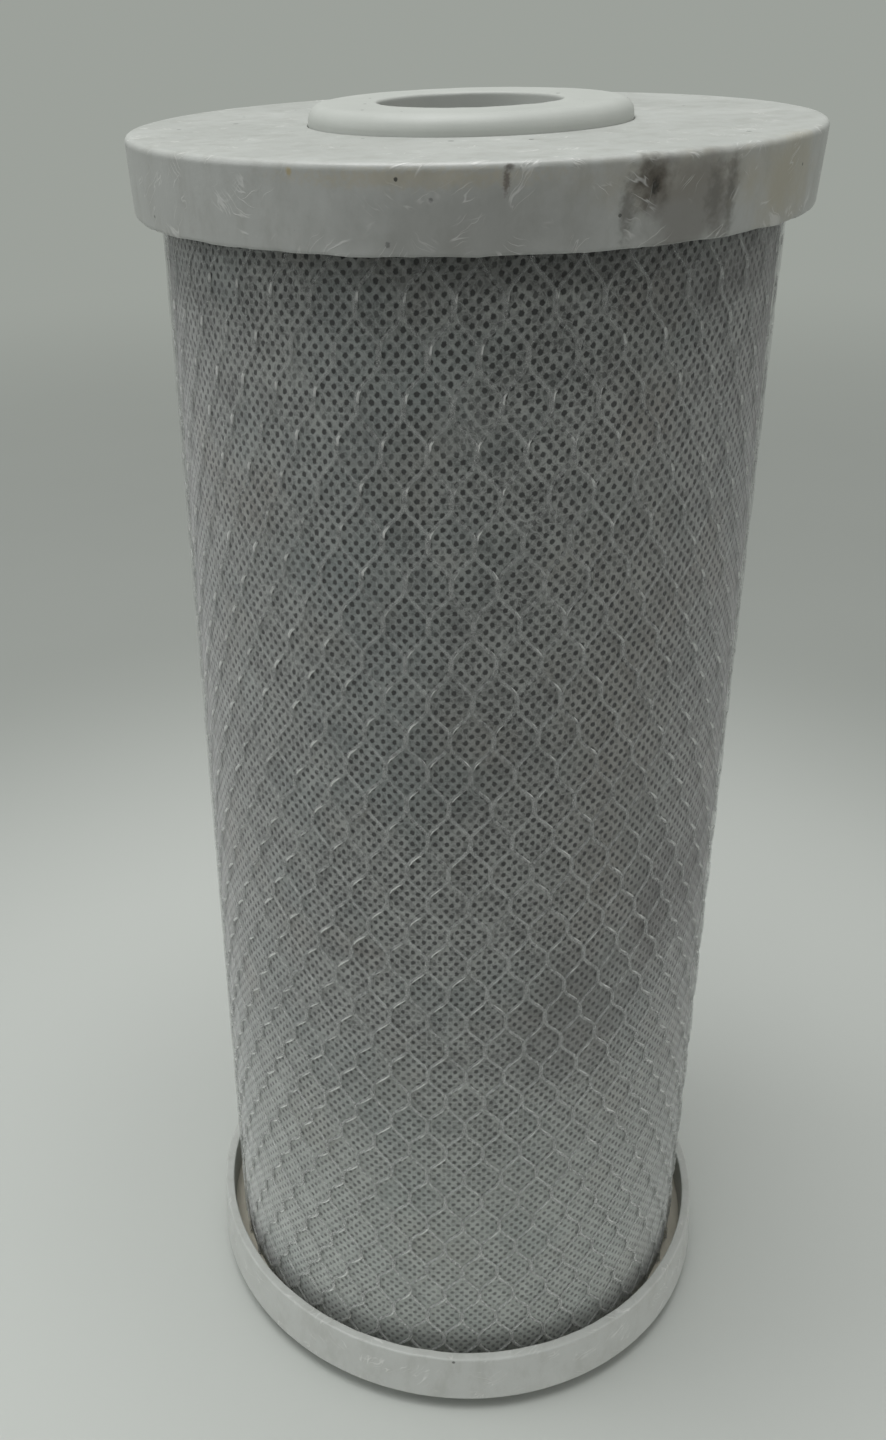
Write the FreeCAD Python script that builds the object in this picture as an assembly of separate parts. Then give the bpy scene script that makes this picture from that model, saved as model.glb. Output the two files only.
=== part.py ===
import FreeCAD, Part
import math
import os

# Carbon block filter cartridge of the large 4.5 inch by 9 3/4 inch kind, standing on its lower gasket.
# Millimetres, +Z up. The origin is on the cartridge's axis, at the centre of the lower gasket's face.
# Both ends are alike: the lower end is drawn first, and the upper end is the lower one turned over.

# Overall size
CAP_SPAN = 248.0  # from the outer face of one end cap to the outer face of the other
CAP_DIAMETER = 114.0

# End cap, moulded in one piece
CAP_FACE = 2.6  # thickness of the disc
SKIRT_HEIGHT = 12.3  # from the outer face to the skirt's open edge
SKIRT_WALL = 2.0  # at the open edge
SKIRT_TAPER = 0.7  # radius that the outside loses towards the open edge
RIM_CHAMFER = 0.7  # outer edge of the face
BORE = 28.5
SPIGOT_WALL = 2.0  # of the tube that enters the block
SPIGOT_LENGTH = 11.0  # beyond the disc
SEAT_DEPTH = 0.8  # of the counterbore in which the gasket lies
SEAT_CLEARANCE = 0.1  # round the gasket
RIB_COUNT = 8  # ribs that hold the block off the disc
RIB_WIDTH = 1.6
RIB_HEIGHT = 1.2
RIB_MARGIN = 5.0  # free disc at either end of a rib

# Gasket
GASKET_HOLE = 30.5
GASKET_WIDTH = 11.5  # from its hole to its outside
GASKET_STAND = 3.2  # how far it stands out of the cap's face
GASKET_CHAMFER = 0.4  # outer edge of the face that seals

# Carbon block and its fabric
SPIGOT_CLEARANCE = 0.35  # between the spigot and the fabric that lines the block
INNER_WRAP = 0.4  # thickness of that fabric
OUTER_WRAP = 0.35  # thickness of the fabric round the block
LAP_WIDTH = 12.0  # overlap of the outer fabric's two edges
LAP_ANGLE = 90.0  # where the overlap lies, in degrees from +X
LAP_CLEARANCE = 0.05  # between the overlap and the netting

# Netting: a layer of strands that wind one way, and a layer on it that winds the other way
NET_GAP = 2.2  # between the netting and the inside of the skirt
NET_CELLS = 45  # meshes in one turn
CELL_HEIGHT = 13.4
STRAND_WIDTH = 1.0
STRAND_THICKNESS = 0.45
NET_FACETS = 20  # straight runs in one turn of a strand
NET_ANGLE = -88.0  # angle of one crossing, in degrees from +X
NET_START = 0.3  # height of that crossing above the block's lower end
SHORTEST_RUN = 0.0001  # radians, so that no run ends just beside a corner

# Places that follow from the sizes above
CAP_RADIUS = CAP_DIAMETER / 2
BORE_RADIUS = BORE / 2
SPIGOT_RADIUS = BORE_RADIUS + SPIGOT_WALL
SKIRT_INNER_RADIUS = CAP_RADIUS - SKIRT_TAPER - SKIRT_WALL
GASKET_HOLE_RADIUS = GASKET_HOLE / 2
GASKET_RADIUS = GASKET_HOLE_RADIUS + GASKET_WIDTH
SEAT_RADIUS = GASKET_RADIUS + SEAT_CLEARANCE
GASKET_THICKNESS = GASKET_STAND + SEAT_DEPTH

TOTAL_HEIGHT = CAP_SPAN + 2 * GASKET_STAND
DISC_TOP = GASKET_STAND + CAP_FACE
BLOCK_LOW = DISC_TOP + RIB_HEIGHT
BLOCK_HIGH = TOTAL_HEIGHT - BLOCK_LOW
BLOCK_LENGTH = BLOCK_HIGH - BLOCK_LOW

FACET = 2 * math.pi / NET_FACETS
NET_RADIUS = SKIRT_INNER_RADIUS - NET_GAP
NET_MIDDLE_RADIUS = NET_RADIUS - STRAND_THICKNESS
NET_INNER_RADIUS = NET_MIDDLE_RADIUS - STRAND_THICKNESS
LAP_RADIUS = NET_INNER_RADIUS * math.cos(FACET / 2) - LAP_CLEARANCE
WRAP_RADIUS = LAP_RADIUS - OUTER_WRAP
BLOCK_RADIUS = WRAP_RADIUS - OUTER_WRAP
LINER_RADIUS = SPIGOT_RADIUS + SPIGOT_CLEARANCE
BLOCK_BORE_RADIUS = LINER_RADIUS + INNER_WRAP

AXIS = FreeCAD.Vector(0, 0, 1)
ORIGIN = FreeCAD.Vector(0, 0, 0)


def turned(outline):
    """The solid that a closed outline of (radius, height) points makes round the axis."""
    points = [FreeCAD.Vector(radius, 0, height) for radius, height in outline]
    face = Part.Face(Part.makePolygon(points + points[:1]))
    return face.revolve(ORIGIN, AXIS, 360)


def tube(inner_radius, outer_radius, low, high):
    """A plain round tube."""
    return turned(
        [
            (inner_radius, low),
            (outer_radius, low),
            (outer_radius, high),
            (inner_radius, high),
        ]
    )


def turned_over(shape):
    """A copy of a piece of the lower end as it lies at the upper end."""
    copy = shape.copy()
    copy.rotate(ORIGIN, FreeCAD.Vector(1, 0, 0), 180)
    copy.translate(FreeCAD.Vector(0, 0, TOTAL_HEIGHT))
    return copy


def ribs():
    """The ribs that stand on the inside of the lower cap's disc, like the spokes of a wheel."""
    start = SPIGOT_RADIUS + RIB_MARGIN
    length = SKIRT_INNER_RADIUS - RIB_MARGIN - start
    corner = FreeCAD.Vector(start, -RIB_WIDTH / 2, DISC_TOP)
    bars = []
    for number in range(RIB_COUNT):
        bar = Part.makeBox(length, RIB_WIDTH, RIB_HEIGHT, corner)
        bar.rotate(ORIGIN, AXIS, 360.0 * number / RIB_COUNT)
        bars.append(bar)
    return bars


def end_cap():
    """The lower end cap: a disc with a skirt, a spigot, ribs and a counterbore for the gasket."""
    face = GASKET_STAND
    open_edge = face + SKIRT_HEIGHT
    spigot_end = DISC_TOP + SPIGOT_LENGTH
    body = turned(
        [
            (BORE_RADIUS, face + SEAT_DEPTH),
            (SEAT_RADIUS, face + SEAT_DEPTH),
            (SEAT_RADIUS, face),
            (CAP_RADIUS - RIM_CHAMFER, face),
            (CAP_RADIUS, face + RIM_CHAMFER),
            (CAP_RADIUS - SKIRT_TAPER, open_edge),
            (SKIRT_INNER_RADIUS, open_edge),
            (SKIRT_INNER_RADIUS, DISC_TOP),
            (SPIGOT_RADIUS, DISC_TOP),
            (SPIGOT_RADIUS, spigot_end),
            (BORE_RADIUS, spigot_end),
        ]
    )
    return body.fuse(ribs()).removeSplitter()


def gasket():
    """The lower gasket: a flat ring of soft rubber, seated in the cap's face."""
    return turned(
        [
            (GASKET_HOLE_RADIUS, 0),
            (GASKET_RADIUS - GASKET_CHAMFER, 0),
            (GASKET_RADIUS, GASKET_CHAMFER),
            (GASKET_RADIUS, GASKET_THICKNESS),
            (GASKET_HOLE_RADIUS, GASKET_THICKNESS),
        ]
    )


def adhesive():
    """The lower bed of set adhesive: it fills the space between the ribs, under the block's end."""
    return tube(SPIGOT_RADIUS, SKIRT_INNER_RADIUS, DISC_TOP, BLOCK_LOW).cut(ribs())


def carbon_block():
    """The sintered carbon: a straight thick tube, sawn off square."""
    return tube(BLOCK_BORE_RADIUS, BLOCK_RADIUS, BLOCK_LOW, BLOCK_HIGH)


def inner_wrap():
    """The fabric that lines the block's bore."""
    return tube(LINER_RADIUS, BLOCK_BORE_RADIUS, BLOCK_LOW, BLOCK_HIGH)


def outer_wrap():
    """The fabric round the block, one sheet whose two edges overlap in a flat lap."""
    half_lap = LAP_WIDTH / 2 / LAP_RADIUS
    middle = math.radians(LAP_ANGLE)

    def at(radius, angle):
        return FreeCAD.Vector(radius * math.cos(angle), radius * math.sin(angle), BLOCK_LOW)

    first = middle - half_lap
    last = middle + half_lap
    far = middle + math.pi
    outline = [
        Part.Arc(at(WRAP_RADIUS, last), at(WRAP_RADIUS, far), at(WRAP_RADIUS, first)),
        Part.LineSegment(at(WRAP_RADIUS, first), at(LAP_RADIUS, first)),
        Part.Arc(at(LAP_RADIUS, first), at(LAP_RADIUS, middle), at(LAP_RADIUS, last)),
        Part.LineSegment(at(LAP_RADIUS, last), at(WRAP_RADIUS, last)),
    ]
    outer = Part.Wire([curve.toShape() for curve in outline])
    inner = Part.Wire(Part.makeCircle(BLOCK_RADIUS, FreeCAD.Vector(0, 0, BLOCK_LOW)))
    sheet = Part.Face([outer, inner], "Part::FaceMakerCheese")
    return sheet.extrude(FreeCAD.Vector(0, 0, BLOCK_LENGTH))


def strip(sections):
    """The solid that joins a row of sections, each a loop of as many points."""
    faces = [Part.Face(Part.makePolygon(loop + loop[:1])) for loop in (sections[0], sections[-1])]
    for near, far in zip(sections, sections[1:]):
        for side in range(len(near)):
            first = Part.makeLine(near[side - 1], near[side])
            second = Part.makeLine(far[side - 1], far[side])
            faces.append(Part.makeRuledSurface(first, second))
    shell = Part.makeShell(faces)
    shell.sewShape()
    solid = Part.makeSolid(shell)
    if solid.Volume < 0:
        solid.reverse()
    return solid


def strand(start_angle, way, inner_radius):
    """One strand of the netting: a ridge with a flat foot that winds up the wrap in straight runs.

    start_angle is where it starts at the block's lower end, and way is 1 or -1. Its runs bend at
    the corners of a ring of NET_FACETS sides, so crossing strands meet on flat sides.
    """
    half_cell = math.pi / NET_CELLS
    turn = way * half_cell / (CELL_HEIGHT / 2)
    lean = math.atan(half_cell * NET_MIDDLE_RADIUS / (CELL_HEIGHT / 2))
    half_height = STRAND_WIDTH / math.sin(lean) / 2
    low = BLOCK_LOW + half_height
    high = BLOCK_HIGH - half_height
    low_angle = start_angle + turn * (low - BLOCK_LOW)
    high_angle = start_angle + turn * (high - BLOCK_LOW)
    least = min(low_angle, high_angle)
    most = max(low_angle, high_angle)
    corners = range(math.ceil(least / FACET), math.floor(most / FACET) + 1)
    turns = [number * FACET for number in corners]
    between = [angle for angle in turns if least + SHORTEST_RUN < angle < most - SHORTEST_RUN]
    sections = []
    for angle in [least] + between + [most]:
        height = low + (angle - low_angle) / turn
        off_middle = angle % FACET - FACET / 2
        to_side = math.cos(FACET / 2) / math.cos(off_middle)
        points = []
        for radius, lift in (
            (inner_radius, -half_height),
            (inner_radius + STRAND_THICKNESS, 0),
            (inner_radius, half_height),
        ):
            reach = radius * to_side
            x = reach * math.cos(angle)
            y = reach * math.sin(angle)
            points.append(FreeCAD.Vector(x, y, height + lift))
        sections.append(points)
    return strip(sections)


def netting():
    """The netting sleeve: two layers of strands that cross at the corners of its meshes."""
    cell = 2 * math.pi / NET_CELLS
    lead = (cell / 2) / (CELL_HEIGHT / 2) * NET_START
    strands = []
    for way, radius in ((1, NET_INNER_RADIUS), (-1, NET_MIDDLE_RADIUS)):
        first = math.radians(NET_ANGLE) - way * lead
        for number in range(NET_CELLS):
            strands.append(strand(first + number * cell, way, radius))
    return Part.makeCompound(strands)


def main():
    cap = end_cap()
    ring = gasket()
    bed = adhesive()
    nodes = {
        "bottom_gasket": ring,
        "bottom_end_cap": cap,
        "bottom_adhesive_ring": bed,
        "carbon_block": carbon_block(),
        "inner_wrap": inner_wrap(),
        "outer_wrap": outer_wrap(),
        "netting_sleeve": netting(),
        "top_adhesive_ring": turned_over(bed),
        "top_end_cap": turned_over(cap),
        "top_gasket": turned_over(ring),
    }
    os.makedirs("parts", exist_ok=True)
    for name, shape in nodes.items():
        shape.exportStep(f"parts/{name}.step")
        print(name, len(shape.Solids), "solids,", round(shape.Volume), "mm3, valid", shape.isValid())


main()
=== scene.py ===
import functools
import math
from typing import NamedTuple

import bpy
import numpy as np
from mathutils import Matrix, Vector, noise


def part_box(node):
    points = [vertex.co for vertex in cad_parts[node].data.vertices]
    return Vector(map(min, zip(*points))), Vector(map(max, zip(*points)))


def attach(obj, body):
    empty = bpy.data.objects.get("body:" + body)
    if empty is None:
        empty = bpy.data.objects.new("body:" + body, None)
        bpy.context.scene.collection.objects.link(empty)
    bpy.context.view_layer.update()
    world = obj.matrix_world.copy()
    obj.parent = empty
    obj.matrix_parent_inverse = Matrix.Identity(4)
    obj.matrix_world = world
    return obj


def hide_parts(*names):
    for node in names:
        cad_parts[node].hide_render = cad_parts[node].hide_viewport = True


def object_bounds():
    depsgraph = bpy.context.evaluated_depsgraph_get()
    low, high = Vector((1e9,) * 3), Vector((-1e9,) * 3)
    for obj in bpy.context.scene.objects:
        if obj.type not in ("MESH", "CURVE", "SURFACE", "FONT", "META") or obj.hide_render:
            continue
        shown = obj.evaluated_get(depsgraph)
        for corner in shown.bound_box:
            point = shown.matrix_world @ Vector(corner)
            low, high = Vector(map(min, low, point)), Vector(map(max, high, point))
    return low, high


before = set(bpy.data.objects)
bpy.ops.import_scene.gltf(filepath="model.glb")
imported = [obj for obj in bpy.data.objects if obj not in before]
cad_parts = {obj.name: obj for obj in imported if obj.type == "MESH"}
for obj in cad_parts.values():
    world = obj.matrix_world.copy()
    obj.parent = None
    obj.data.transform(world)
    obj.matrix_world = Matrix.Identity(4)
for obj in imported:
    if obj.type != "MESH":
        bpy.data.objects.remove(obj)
cad_low, cad_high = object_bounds()

# A carbon block filter cartridge: two end caps, two gaskets, and the block in its fabric and netting.
# Lengths are in millimetres until a mesh is made. The origin is at the centre of the lower gasket's face.
MM = 0.001
BODY = "root"

# Places read from the frame
cap_low, cap_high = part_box("top_end_cap")
gasket_low, gasket_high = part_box("top_gasket")
block_low, block_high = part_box("carbon_block")
net_low, net_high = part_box("netting_sleeve")
TOTAL_HEIGHT = cad_high.z / MM
CAP_RADIUS = cap_high.x / MM
CAP_LENGTH = (cap_high.z - cap_low.z) / MM
GASKET_RADIUS = gasket_high.x / MM
GASKET_THICKNESS = (gasket_high.z - gasket_low.z) / MM
GASKET_STAND = TOTAL_HEIGHT - cap_high.z / MM  # how far a gasket stands out of its cap's face
BLOCK_LOW = block_low.z / MM
BLOCK_HIGH = block_high.z / MM
NET_RADIUS = net_high.x / MM

# End cap
DISC = 2.6
SKIRT_HEIGHT = 12.3
SKIRT_TAPER = 0.7
SKIRT_WALL = 2.0
SKIRT_OUTER_EDGE = CAP_RADIUS - SKIRT_TAPER
SKIRT_INNER = SKIRT_OUTER_EDGE - SKIRT_WALL
BORE_RADIUS = 14.25
SPIGOT_WALL = 2.0
SPIGOT_RADIUS = BORE_RADIUS + SPIGOT_WALL
SEAT_CLEARANCE = 0.1
SEAT_RADIUS = GASKET_RADIUS + SEAT_CLEARANCE
SEAT_DEPTH = 0.8
RIB_COUNT = 8
RIB_WIDTH = 1.6
RIB_HEIGHT = 1.2
RIB_MARGIN = 5.0
RIB_ROOT = 0.2  # how deep a rib's foot lies in the disc
RIB_DRAFT = 0.8  # share of its width that a rib keeps at its top

# Roundings of the cap and the gasket
RIM_ROUNDING = 0.9
SKIRT_ROUNDING = 0.45
EDGE_ROUNDING = 0.3
LIP_ROUNDING = 0.25
CREASE_ROUNDING = 0.15
SEAT_ROUNDING = 0.1
GASKET_ROUNDING = 2.3
GASKET_HOLE_ROUNDING = 0.5
GASKET_FOOT_ROUNDING = 0.2

# Unevenness of the cap and the gasket: how far, and about how many waves to a radian
EDGE_WAVE = 0.22
EDGE_LONG_WAVES = 9
EDGE_SHORT_WAVES = 26
EDGE_SHORT_SHARE = 0.6
EDGE_DROP = 0.6  # share of the wave's reach by which the edge lies lower
RIM_WARP = 0.1
WARP_WAVES = 2.3
WARP_CLIMB = 0.1
GASKET_WAVE = 0.05
GASKET_WAVES = 4

# Gasket
GASKET_HOLE_RADIUS = 15.25

# Fabric round the block
WRAP_THICKNESS = 0.35
WRAP_DEPTH = 0.8  # from the netting's outside to the fabric's
WRAP_RADIUS = NET_RADIUS - WRAP_DEPTH
WRAP_MIDDLE = WRAP_RADIUS - WRAP_THICKNESS / 2
LAP_WIDTH = 12.0
LAP_ANGLE = math.radians(90)
LAP_RAMP = 4.0
WRAP_UNEVEN = 0.1
WRAP_WAVES = 3.5
WRAP_CLIMB = 0.07
WRAP_COLUMNS = 400
WRAP_ROWS = 72

# Netting
NET_CELLS = 45
NET_ANGLE = math.radians(-88)  # one crossing's angle
NET_ANCHOR = 36.5  # and its height
ROW_STEP = 6.54  # between rows of crossings where they lie closest
ROW_MIDDLE = 105.0  # height at which they do
ROW_REACH = 120.0
ROW_GROWTH = 0.11  # share that the step gains at that reach
ROW_SAMPLES = 2001
STRAND_HALF_WIDTH = 0.33
STRAND_HALF_THICKNESS = 0.27
STRAND_SWAY = 0.58  # how far a strand swings to either side of its helix
STRAND_DRIFT = 0.3  # how far it strays from that
DRIFT_STEP = 1.7  # how much the straying differs from strand to strand
DRIFT_CLIMB = 0.05
KNOT_SWELL = 0.45  # share that a strand gains in width at a crossing
KNOT_SHARPNESS = 6
RINGS_A_ROW = 8
STRAND_SIDES = 6

# Painted highlights on the netting: pale streaks laid on the strands where light would catch them
PALE_LOW = 0.42  # share of a row below a crossing at which a strand is palest, low on the block
PALE_LOW_HEIGHT = 75.0
PALE_CLIMB = 0.0028  # gain of that share for each millimetre of height
PALE_REACH = 0.29
PALE_GAIN = 1.5  # how many times longer the streaks are at the lower end
PALE_FADE = 250.0  # height over which they grow a whole reach shorter
PALE_TURN = math.radians(-72.0)  # where the painted highlights of both ways of winding are alike
PALE_SHARE = 0.6
PALE_SIDE = 0.5
PALE_MEAN = 0.95
PALE_UNEVEN = 1.1
PALE_STEP = 2.3
PALE_WAVES = 0.11
PAINTED_SHADE_FAINT = -0.2  # painted shade: the value given to the strands that the light doesn't catch

# Which noise is which
WRAP_SEED = 3
DRIFT_SEED = 5
PALE_SEED = 9
SEED_STEP = (7.31, 3.17, 5.53)
LOWER_SEED = 1
UPPER_SEED = 5

# Mesh fineness
TURN_SEGMENTS = 240
LONGEST_SIDE = 2.5
SUPPORT = 0.25
ARC_STEPS = 4

# Dots of the fabric
DOTS_AROUND = 164
DOT_PITCH = 2 * math.pi * WRAP_RADIUS / DOTS_AROUND
DOT_RISE = 2.325
DOT_SLANT = 0.0606  # rise of a row of dots for each millimetre along it
DOT_RADIUS = 0.41
DOT_BLUR = 0.11
DOT_STRETCH = 0.88  # a dot is a little taller than wide
DOT_STRAY = 0.4
DOT_FRAY = 0.17

# Fibres, scuffs and spots on a flat-laid surface
FIBRE_STRETCH = (0.09, 0.62)  # grain of the noise along a fibre and across it
FIBRE_SHIFT = (17.0, 31.0)  # between the fibres of one direction and the next
FIBRE_HALF_WIDTH = 0.040
SCUFF_STRETCH = (0.11, 0.7)
SCUFF_HALF_WIDTH = 0.028
BLOT_GRAIN = 2.2  # waves of a spot's ragged edge across its shorter half

# Camera, fitted to the photograph
CAMERA_PLACE = Vector((0.0, -251.1, 273.5)) * MM
CAMERA_PAN = math.radians(-5.874)
CAMERA_PITCH = math.radians(28.272)
CAMERA_ROLL = math.radians(2.001)
PHOTO_WIDTH = 886
PHOTO_HEIGHT = 1440
FOCAL_PIXELS = 1391.0
AXIS_PIXEL = 335.2  # where the lens's axis meets the photograph, from its left edge
SENSOR = 36.0
NEAREST = 0.01
FARTHEST = 100.0

# Lamps: name, place and side in metres, power in watts, colour
LAMPS = [
    ("overhead", (-0.15, -0.10, 1.40), 0.9, 13.0, (1.0, 1.0, 1.0)),
    ("left", (-1.3, -0.1, 0.7), 0.8, 3.2, (0.98, 1.0, 0.99)),
    ("right", (1.3, -0.1, 0.7), 0.8, 1.5, (1.0, 0.98, 0.93)),
]
LAMP_TARGET = (0.0, 0.0, 0.12)
AMBIENT = 0.39

# Stage: linear colours, and distances from the axis in metres
FLOOR_SIZE = 40.0
# Painted pool of light: the floor is paler near the object than far from it
FLOOR_PAINTED_POOL = (0.495, 0.520, 0.490)
FLOOR_FAR = (0.295, 0.313, 0.290)
FLOOR_CLOUD = (0.45, 0.47, 0.45)
NEAR_REACH = 0.12
FAR_REACH = 0.37
FLOOR_PAINTED_BOUNCE = (0.92, 0.93, 0.91)  # painted pool of light: the floor's colour for the light it throws back, near the object
FLOOR_DIM = (0.10, 0.10, 0.10)  # and far from it
BOUNCE_NEAR = 0.14
BOUNCE_FAR = 0.34
BACKGROUND = (0.335, 0.356, 0.327)
MELT_NEAR = 0.42  # where the floor starts to turn into the background
MELT_FAR = 1.2
WHITE = (1.0, 1.0, 1.0)

# Linear colours of the plastic and the rubber
CAP_GREY = (0.42, 0.435, 0.41)
CAP_PALE = (0.49, 0.51, 0.485)
CAP_CLOUD = (0.33, 0.335, 0.305)
CAP_BLOTCH = (0.55, 0.565, 0.535)
CAP_DUST = (0.06, 0.06, 0.055)
CAP_SCUFF = (0.68, 0.69, 0.66)
RUBBER_GREY = (0.41, 0.43, 0.40)
RUBBER_PALE = (0.50, 0.52, 0.49)
RUBBER_DUST = (0.05, 0.05, 0.045)
NET_GREY = (0.46, 0.48, 0.46)
NET_PALE = (0.56, 0.58, 0.56)
# Colour of the painted highlights on the netting
NET_PAINTED_GLINT = (0.84, 0.86, 0.83)
GLUE_DARK = (0.50, 0.47, 0.38)
GLUE_PALE = (0.66, 0.64, 0.55)

# Linear colours of the fabrics and the carbon
FABRIC_DARK = (0.115, 0.122, 0.116)
FABRIC_PALE = (0.400, 0.422, 0.396)
FABRIC_WARM = (0.24, 0.22, 0.185)
FABRIC_COOL = (0.195, 0.235, 0.225)
# Colour of the painted light towards the foot of the fabric
FABRIC_PAINTED_FOOT_LIGHT = (0.280, 0.325, 0.288)
DOT_COLOUR = (0.030, 0.032, 0.031)
# Dark of the stains, also used for the painted shade under the upper cap
STAIN_AND_SHADE = (0.055, 0.055, 0.05)
LINER_DARK = (0.20, 0.205, 0.20)
LINER_PALE = (0.50, 0.51, 0.49)
CARBON_DARK = (0.012, 0.012, 0.013)
CARBON_PALE = (0.05, 0.05, 0.052)


class Mark(NamedTuple):
    """An uneven spot on a surface laid flat: its place, its reach to either side and its look."""

    angle: float  # of its middle, in degrees from +X
    height: float
    half_width: float
    half_height: float
    strength: float
    colour: tuple = STAIN_AND_SHADE
    ragged: float = 0.5
    blur: float = 0.9


CAP_MARKS_AND_PAINTED_SHADE = [
    Mark(-97.0, 249.4, 26.0, 1.8, 0.45, (0.46, 0.41, 0.28), 0.7),
    Mark(-60.0, 248.0, 24.0, 5.0, 0.45, (0.36, 0.33, 0.25), 0.6),
    # Painted shade, with grey grime: a wide darkening across the front of the upper skirt.
    Mark(-88.0, 243.0, 30.0, 9.0, 0.40, (0.24, 0.24, 0.22), 0.6),
    Mark(-115.3, 250.0, 0.7, 0.8, 0.65, (0.42, 0.33, 0.13), 0.3, 0.8),
    Mark(-85.0, 249.0, 0.7, 2.4, 0.85, (0.15, 0.13, 0.11), 0.5, 0.8),
    Mark(-84.6, 250.7, 0.9, 0.8, 0.80, (0.10, 0.09, 0.08), 0.4, 0.8),
    Mark(-57.5, 244.5, 10.5, 9.0, 0.66, (0.17, 0.16, 0.14), 0.45, 0.6),
    Mark(-64.5, 248.0, 4.2, 5.0, 0.92, (0.06, 0.048, 0.035), 0.6),
    Mark(-64.0, 247.2, 0.9, 1.6, 0.85, (0.02, 0.018, 0.015), 0.6, 0.8),
    Mark(-68.0, 244.5, 1.7, 5.5, 0.60, (0.10, 0.095, 0.08), 0.6),
    Mark(-53.5, 245.5, 2.4, 6.0, 0.60, (0.12, 0.115, 0.10), 0.7),
    Mark(-50.3, 245.0, 1.6, 7.5, 0.65, (0.10, 0.095, 0.08), 0.5),
    Mark(-50.8, 249.0, 2.2, 1.4, 0.55, (0.15, 0.14, 0.12), 0.7),
    Mark(-36.0, 246.0, 15.0, 9.0, 0.80, (0.42, 0.40, 0.31), 0.6),
    Mark(-99.7, 249.3, 0.35, 0.35, 0.90, (0.04, 0.04, 0.035), 0.3, 0.5),
    Mark(-101.0, 241.4, 0.5, 0.5, 0.60, (0.08, 0.08, 0.08), 0.5, 0.6),
    Mark(-95.0, 246.8, 0.4, 0.4, 0.60, (0.10, 0.10, 0.10), 0.5, 0.6),
]
FABRIC_TINTS = [
    Mark(-58.0, 150.0, 20.0, 90.0, 0.32, (0.205, 0.195, 0.165)),
    Mark(-106.0, 190.0, 22.0, 65.0, 0.32, (0.180, 0.218, 0.216)),
]
FABRIC_STAINS_AND_PAINTED_SHADE = [
    Mark(-66.0, 100.0, 20.0, 20.0, 0.38),
    Mark(-46.0, 118.0, 9.0, 26.0, 0.50),
    Mark(-86.0, 158.0, 18.0, 50.0, 0.16),
    Mark(-32.0, 122.0, 14.0, 24.0, 0.55),
    # Painted shade: wide dark bands just under the upper cap.
    Mark(-40.0, 232.0, 30.0, 7.0, 0.45),
    Mark(-84.0, 236.0, 46.0, 5.0, 0.35),
    Mark(-53.9, 226.6, 0.6, 0.6, 0.9),
    Mark(-56.6, 218.0, 0.5, 0.7, 0.8),
    Mark(-49.5, 194.0, 0.6, 0.8, 0.8),
]
FLUFF_ANGLE = -88.8
FLUFF_HEIGHT = 213.9
FLUFF_SIZE = (9.0, 6.0)


def make_mesh(name, points, faces):
    """A smooth mesh object from points in millimetres."""
    mesh = bpy.data.meshes.new(name)
    mesh.from_pydata([tuple(p) for p in np.asarray(points) * MM], [], faces)
    mesh.validate()
    mesh.update()
    mesh.polygons.foreach_set("use_smooth", [True] * len(mesh.polygons))
    piece = bpy.data.objects.new(name, mesh)
    bpy.context.scene.collection.objects.link(piece)
    return piece


def rounded(corners):
    """A closed outline with its corners (radius, height, rounding) rounded and held by support points."""
    outline = []
    count = len(corners)
    for i, (radius, height, rounding) in enumerate(corners):
        here = np.array((radius, height))
        before = np.array(corners[i - 1][:2]) - here
        after = np.array(corners[(i + 1) % count][:2]) - here
        before /= np.linalg.norm(before)
        after /= np.linalg.norm(after)
        half = math.acos(np.dot(before, after)) / 2
        setback = rounding / math.tan(half)
        inward = (before + after) / np.linalg.norm(before + after)
        centre = here + inward * rounding / math.sin(half)
        start = here + before * setback - centre
        end = here + after * setback - centre
        turn = math.pi - 2 * half
        outline.append(here + before * (setback + SUPPORT))
        for step in range(ARC_STEPS + 1):
            share = step / ARC_STEPS
            a = math.sin((1 - share) * turn) / math.sin(turn)
            b = math.sin(share * turn) / math.sin(turn)
            outline.append(centre + start * a + end * b)
        outline.append(here + after * (setback + SUPPORT))
    return outline


def divided(outline):
    """The closed outline with its long sides divided."""
    points = []
    for i, point in enumerate(outline):
        following = outline[(i + 1) % len(outline)]
        parts = max(1, math.ceil(np.linalg.norm(following - point) / LONGEST_SIDE))
        for part in range(parts):
            points.append(point + (following - point) * part / parts)
    return points


def lathe(outline):
    """Points and faces of the ring that a closed outline of (radius, height) makes round the axis."""
    profile = np.array(outline)
    angles = np.arange(TURN_SEGMENTS) * 2 * math.pi / TURN_SEGMENTS
    radius, height = profile[:, 0], profile[:, 1]
    x = np.outer(np.cos(angles), radius)
    y = np.outer(np.sin(angles), radius)
    z = np.outer(np.ones(TURN_SEGMENTS), height)
    points = np.stack([x, y, z], -1).reshape(-1, 3)
    count = len(profile)
    faces = []
    for i in range(TURN_SEGMENTS):
        here = i * count
        there = (i + 1) % TURN_SEGMENTS * count
        for j in range(count):
            k = (j + 1) % count
            faces.append((here + j, there + j, there + k, here + k))
    return points, faces


def wander(place, seed):
    """Smooth noise from -1 to 1 at a place."""
    return noise.noise(Vector(place) + seed * Vector(SEED_STEP))


def eased(share):
    """A share held between 0 and 1, turned so that it starts and ends gently."""
    share = min(1.0, max(0.0, share))
    return share * share * (3 - 2 * share)


def turned_over(points):
    """The same points as they lie at the upper end."""
    return points * np.array((1, -1, -1)) + np.array((0, 0, TOTAL_HEIGHT))


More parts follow.
